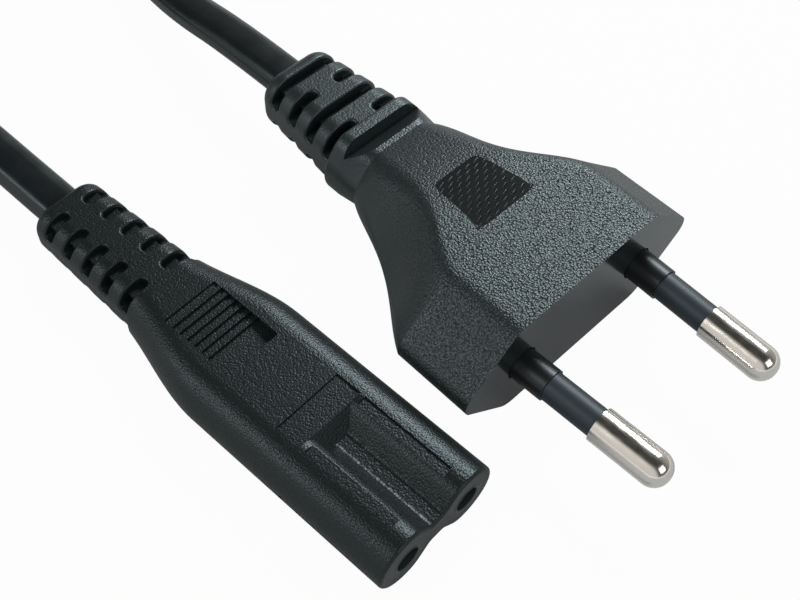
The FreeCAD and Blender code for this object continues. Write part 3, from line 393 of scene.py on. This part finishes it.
# Moulded grain: how fast a pip falls away from its middle, how uneven it is, and the heights of pits and of pips.
PIP_FALL, PIP_UNEVEN = 1.6, 0.7
PIT_LEVEL, PIP_LEVEL = 0.85, 1.35
PIT_ROUGHER, PIP_GLOSSIER = 0.05, -0.03
PLUG_GRAIN, PLUG_GRAIN_DEPTH = 0.25 * MM, 0.04 * MM
# Colours of pits and pips: the pits are painted darker as painted shade, the pips paler as painted glints.
PLUG_PIT_SHADE, PLUG_PIP_GLINT = (0.004, 0.0053, 0.0056), (0.021, 0.027, 0.0285)
PLUG_ROUGHNESS, FACE_ROUGHNESS = 0.37, 0.16
CONNECTOR_GRAIN, CONNECTOR_GRAIN_DEPTH = 0.23 * MM, 0.03 * MM
# The connector's pit and pip colours, painted the same way: painted shade in the pits, painted glints on the
# pips.
CONNECTOR_PIT_SHADE, CONNECTOR_PIP_GLINT = (0.0045, 0.0058, 0.006), (0.0125, 0.016, 0.0163)
CONNECTOR_ROUGHNESS = 0.34
# From and to which lean towards the face a surface turns smooth.
FACING = (0.8, 0.95)


def grained(finish, grain, share, depth, pit_shade, pip_glint, under=None):
    """Moulded grain of that size, where share is high: close pips, glossier than the pits, with the pips painted
    paler as painted glints and the pits darker as painted shade.
    """
    gap = finish.cells(grain)
    fall = finish.math("MULTIPLY", finish.math("MULTIPLY", gap, gap), PIP_FALL)
    uneven = finish.math("MULTIPLY", finish.noise(grain * 0.7, detail=1.0), PIP_UNEVEN)
    height = finish.math("ADD", finish.math("SUBTRACT", 1.0, fall), uneven)
    even = finish.node("ShaderNodeMix")
    finish.set(even.inputs["Factor"], share)
    even.inputs["A"].default_value = 0.5
    finish.link(finish.ramp(height, PIT_LEVEL, PIP_LEVEL), even.inputs["B"])
    level = even.outputs["Result"]
    # Painted shade in the pits and painted glints on the pips, following the grain's height.
    finish.mix_colours(level, pit_shade, pip_glint)
    polish = finish.ramp(level, 0.0, 1.0, PIT_ROUGHER, PIP_GLOSSIER)
    return finish.bump(height, depth, share, under), polish


def plug_moulding():
    """Black moulding: grained all over but for the face, and finer low on the flanks."""
    finish = Finish("plug_moulding", specular=0.62, tint=COOL)
    x, _, z = finish.axes(finish.place)
    normal = finish.axes(finish.node("ShaderNodeNewGeometry").outputs["Normal"])
    face = finish.ramp(normal["X"], *FACING)
    height = finish.math("ABSOLUTE", finish.math("SUBTRACT", z, PLUG_MIDDLE))
    high = finish.ramp(height, 0.5 * MM, 5 * MM)
    front = finish.ramp(x, FACE_X - 13 * MM, FACE_X - 8 * MM, 0.3, 0.9)
    coarser = finish.ramp(x, RELIEF_END + 10 * MM, FACE_X - 12 * MM, 0.4, 1.0)
    share = finish.math("MULTIPLY", finish.math("MAXIMUM", high, front), coarser)
    share = finish.math("MULTIPLY", share, finish.math("SUBTRACT", 1.0, face))
    parting = finish.bump(finish.ramp(height, 0.03 * MM, 0.09 * MM), 0.02 * MM, 0.5)
    grain, polish = grained(finish, PLUG_GRAIN, share, PLUG_GRAIN_DEPTH, PLUG_PIT_SHADE, PLUG_PIP_GLINT, parting)
    roughness = finish.ramp(face, 0.0, 1.0, PLUG_ROUGHNESS, FACE_ROUGHNESS)
    return finish.finish(grain, finish.math("ADD", roughness, polish))


def connector_moulding():
    """The same moulding with a finer grain and a smooth nose."""
    finish = Finish("connector_moulding", specular=0.38, tint=COOL)
    normal = finish.axes(finish.node("ShaderNodeNewGeometry").outputs["Normal"])
    share = finish.ramp(normal["X"], *FACING, 0.65, 0.0)
    grain, polish = grained(finish, CONNECTOR_GRAIN, share, CONNECTOR_GRAIN_DEPTH, CONNECTOR_PIT_SHADE, CONNECTOR_PIP_GLINT)
    return finish.finish(grain, finish.math("ADD", polish, CONNECTOR_ROUGHNESS))


def grip_painted_shade():
    """Painted shade: the sheet between the grip studs, near-black for the shade of the sunk floor it stands for.
    """
    finish = Finish("grip_painted_shade", specular=0.08)
    # Near-black tones: painted shade of the sunk floor between the studs.
    finish.mix_colours(finish.noise(0.6 * MM), (0.005, 0.006, 0.0064), (0.007, 0.0085, 0.009))
    return finish.finish(finish.bump(finish.noise(0.2 * MM), 0.02 * MM, 0.5), 0.6)


def stud_moulding():
    """The same black, smooth and a little worn to a shine on the studs' ridges."""
    finish = Finish("stud_moulding", tint=COOL)
    finish.mix_colours(finish.noise(0.8 * MM), (0.008, 0.01, 0.0107), (0.012, 0.0148, 0.0155))
    normal = finish.bump(finish.noise(0.2 * MM), 0.015 * MM, 0.4)
    return finish.finish(normal, finish.ramp(finish.noise(0.5 * MM), 0.3, 0.7, 0.2, 0.3))


def smooth_plastic(name, colour, roughness, tint=(1, 1, 1)):
    """Smooth moulded or extruded plastic with a faint mottle."""
    finish = Finish(name, tint=tint)
    finish.mix_colours(finish.noise(2 * MM), tuple(0.85 * c for c in colour), colour)
    normal = finish.bump(finish.noise(0.8 * MM), 0.02 * MM, 0.12)
    polish = finish.ramp(finish.noise(3 * MM), 0.3, 0.7, roughness - 0.04, roughness + 0.04)
    return finish.finish(normal, polish)


def cord_sheath():
    return smooth_plastic("cord_sheath", (0.0085, 0.0105, 0.0115), 0.26, COOL)


def sleeve_plastic():
    """Satin blue-black sleeve whose collar against the face is glossier and blacker."""
    finish = Finish("pin_sleeve", tint=(0.85, 0.96, 1.0))
    x = finish.axes(finish.place)["X"]
    end, blur = FACE_X + COLLAR, 0.1 * MM
    collar = finish.ramp(x, end - blur, end + blur, 1.0, 0.0)
    finish.mix_colours(collar, (0.021, 0.029, 0.037), (0.007, 0.008, 0.009))
    normal = finish.bump(finish.noise(0.5 * MM), 0.03 * MM, 0.35)
    return finish.finish(normal, finish.ramp(collar, 0.0, 1.0, 0.48, 0.38))


def plated(name, colour, roughness):
    """Plated metal with faint turning marks."""
    finish = Finish(name, metallic=1.0)
    stretched = finish.node("ShaderNodeMapping")
    stretched.inputs["Scale"].default_value = (1, 4, 4)
    finish.link(finish.place, stretched.inputs["Vector"])
    marks = finish.noise(1.5 * MM, vector=stretched.outputs["Vector"])
    finish.mix_colours(finish.noise(1.2 * MM), tuple(0.94 * c for c in colour), colour)
    normal = finish.bump(marks, 0.003 * MM, 0.2)
    return finish.finish(normal, finish.ramp(marks, 0.3, 0.7, roughness * 0.8, roughness * 1.3))


def dress_nodes():
    """Each CAD piece takes the finish of its material slot."""
    finishes = {
        "inner_moulding": smooth_plastic("inner_moulding", (0.024, 0.03, 0.031), 0.4, COOL),
        "sleeve": sleeve_plastic(),
        "pin_metal": plated("nickel_pin", (0.8, 0.77, 0.72), 0.17),
        "contact_metal": plated("tinned_contact", (0.7, 0.66, 0.56), 0.25),
        "copper": plated("copper_strand", (0.72, 0.42, 0.28), 0.3),
        "brown_insulation": smooth_plastic("brown_insulation", (0.2, 0.09, 0.045), 0.4),
        "blue_insulation": smooth_plastic("blue_insulation", (0.05, 0.16, 0.42), 0.4),
        "cord_sheath": bpy.data.materials["cord_sheath"],
        "tie": smooth_plastic("coated_tie", (0.02, 0.02, 0.022), 0.45),
    }
    mouldings = {"plug_body": plug_moulding(), "connector_body": connector_moulding()}
    for subpart in frame["record"]["subparts"]:
        node = nodes[subpart["node"]]
        node.data.materials.clear()
        node.data.materials.append(mouldings.get(subpart["node"]) or finishes[subpart["material_slot"]])


# Stage

FLOOR_REACH, FLOOR_DROP = 1.5, 0.02 * MM
FLOOR_GREY = 0.45
# Shares of white in the background that is seen straight, mirrored and let through.
FLOOR_WHITE = (0.97, 0.1, 0.97)
WORLD_WHITE = (1, 1, 1)
AMBIENT = 0.4
ROOM_RADIUS, ROOM_FOOT = 1.4, 0.15
# The near and the far wall: from and to which place along Y, and how bright at each.
ROOM_WALLS = ((-0.5, -0.95, 0.0, 0.65), (0.2, 1.4, 0.05, 0.4))
LAMP_DISTANCE = 0.8
LAMP_TARGET = Vector((0, -0.01, 0))


def seen_white(tree, shares):
    """How much white each way of seeing the background adds: straight, mirrored and let through."""
    light_path = tree.nodes.new("ShaderNodeLightPath")
    total = None
    for name, share in zip(("Is Camera Ray", "Is Glossy Ray", "Is Transmission Ray"), shares):
        weighed = tree.nodes.new("ShaderNodeMath")
        weighed.operation = "MULTIPLY"
        weighed.inputs[1].default_value = share
        tree.links.new(light_path.outputs[name], weighed.inputs[0])
        if total is None:
            total = weighed.outputs[0]
            continue
        either = tree.nodes.new("ShaderNodeMath")
        either.operation = "MAXIMUM"
        tree.links.new(total, either.inputs[0])
        tree.links.new(weighed.outputs[0], either.inputs[1])
        total = either.outputs[0]
    return total


def make_floor():
    mesh = bpy.data.meshes.new("floor")
    shape = bmesh.new()
    bmesh.ops.create_grid(shape, x_segments=1, y_segments=1, size=FLOOR_REACH)
    bmesh.ops.translate(shape, verts=shape.verts, vec=(0, 0, -FLOOR_DROP))
    shape.to_mesh(mesh)
    shape.free()
    floor = bpy.data.objects.new("floor", mesh)
    scene.collection.objects.link(floor)
    material = bpy.data.materials.new("pale_floor")
    material.use_nodes = True
    tree = material.node_tree
    diffuse = tree.nodes["Principled BSDF"]
    diffuse.inputs["Base Color"].default_value = (FLOOR_GREY, FLOOR_GREY, FLOOR_GREY, 1)
    diffuse.inputs["Roughness"].default_value = 0.8
    glow = tree.nodes.new("ShaderNodeEmission")
    mix = tree.nodes.new("ShaderNodeMixShader")
    tree.links.new(seen_white(tree, FLOOR_WHITE), mix.inputs[0])
    tree.links.new(diffuse.outputs[0], mix.inputs[1])
    tree.links.new(glow.outputs[0], mix.inputs[2])
    tree.links.new(mix.outputs[0], tree.nodes["Material Output"].inputs["Surface"])
    mesh.materials.append(material)


def make_dark_room():
    """The dim studio round the table, which only reflections show."""
    mesh = bpy.data.meshes.new("dark_room")
    shape = bmesh.new()
    bmesh.ops.create_uvsphere(shape, u_segments=48, v_segments=24, radius=ROOM_RADIUS)
    bmesh.ops.bisect_plane(shape, geom=shape.verts[:] + shape.edges[:] + shape.faces[:],
                           plane_co=(0, 0, ROOM_FOOT), plane_no=(0, 0, 1), clear_inner=True)
    bmesh.ops.reverse_faces(shape, faces=shape.faces)
    shape.to_mesh(mesh)
    shape.free()
    room = bpy.data.objects.new("dark_room", mesh)
    scene.collection.objects.link(room)
    room.visible_camera = room.visible_diffuse = False
    room.visible_shadow = room.visible_transmission = False
    material = bpy.data.materials.new("dim_walls")
    material.use_nodes = True
    tree = material.node_tree
    tree.nodes.remove(tree.nodes["Principled BSDF"])
    glow = tree.nodes.new("ShaderNodeEmission")
    glow.inputs["Color"].default_value = (1.0, 0.97, 0.92, 1)
    place = tree.nodes.new("ShaderNodeTexCoord")
    axes = tree.nodes.new("ShaderNodeSeparateXYZ")
    tree.links.new(place.outputs["Object"], axes.inputs[0])
    level = tree.nodes.new("ShaderNodeMath")
    for socket, ramp in zip(level.inputs, ROOM_WALLS):
        side = tree.nodes.new("ShaderNodeMapRange")
        side.interpolation_type = "SMOOTHSTEP"
        for name, number in zip(("From Min", "From Max", "To Min", "To Max"), ramp):
            side.inputs[name].default_value = number
        tree.links.new(axes.outputs["Y"], side.inputs["Value"])
        tree.links.new(side.outputs["Result"], socket)
    tree.links.new(level.outputs[0], glow.inputs["Strength"])
    tree.links.new(glow.outputs[0], tree.nodes["Material Output"].inputs["Surface"])
    mesh.materials.append(material)


def make_world():
    world = bpy.data.worlds.new("studio")
    scene.world = world
    world.use_nodes = True
    tree = world.node_tree
    ambient = tree.nodes["Background"]
    ambient.inputs["Color"].default_value = (0.94, 0.97, 1.0, 1)
    ambient.inputs["Strength"].default_value = AMBIENT
    white = tree.nodes.new("ShaderNodeBackground")
    white.inputs["Color"].default_value = (1, 1, 1, 1)
    white.inputs["Strength"].default_value = 1.0
    mix = tree.nodes.new("ShaderNodeMixShader")
    tree.links.new(seen_white(tree, WORLD_WHITE), mix.inputs[0])
    tree.links.new(ambient.outputs[0], mix.inputs[1])
    tree.links.new(white.outputs[0], mix.inputs[2])
    tree.links.new(mix.outputs[0], tree.nodes["World Output"].inputs["Surface"])


def make_lamp(name, direction, side, radiance, colour=(1, 1, 1)):
    """A square softbox that faces the lead from that direction and looks that bright."""
    lamp = bpy.data.objects.new(name, bpy.data.lights.new(name, "AREA"))
    lamp.data.shape = "SQUARE"
    lamp.data.size = side
    lamp.data.energy = radiance * math.pi * side ** 2
    lamp.data.color = colour
    lamp.location = LAMP_TARGET + Vector(direction).normalized() * LAMP_DISTANCE
    lamp.rotation_euler = (LAMP_TARGET - lamp.location).to_track_quat("-Z", "Y").to_euler()
    lamp.visible_camera = False
    scene.collection.objects.link(lamp)


def make_lamps():
    make_lamp("main_softbox", (-0.3, 0.71, 0.63), 0.27, 21.0, (0.96, 0.99, 1.0))
    make_lamp("near_softbox", (-0.42, -0.66, 0.62), 0.22, 7.5)
    make_lamp("front_softbox", (0.73, 0.04, 0.58), 0.45, 2.2)


make_camera()
cord = make_cord()
surface = plug_surface()
grip = make_grip_patch(surface), make_grip_studs(surface)
lips = make_socket_lips()
dress_nodes()
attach(cord, "root")
for piece in (*grip, lips):
    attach(piece, "root")
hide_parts(*CORD_NODES)
make_floor()
make_dark_room()
make_world()
make_lamps()
scene.view_settings.view_transform = "Standard"
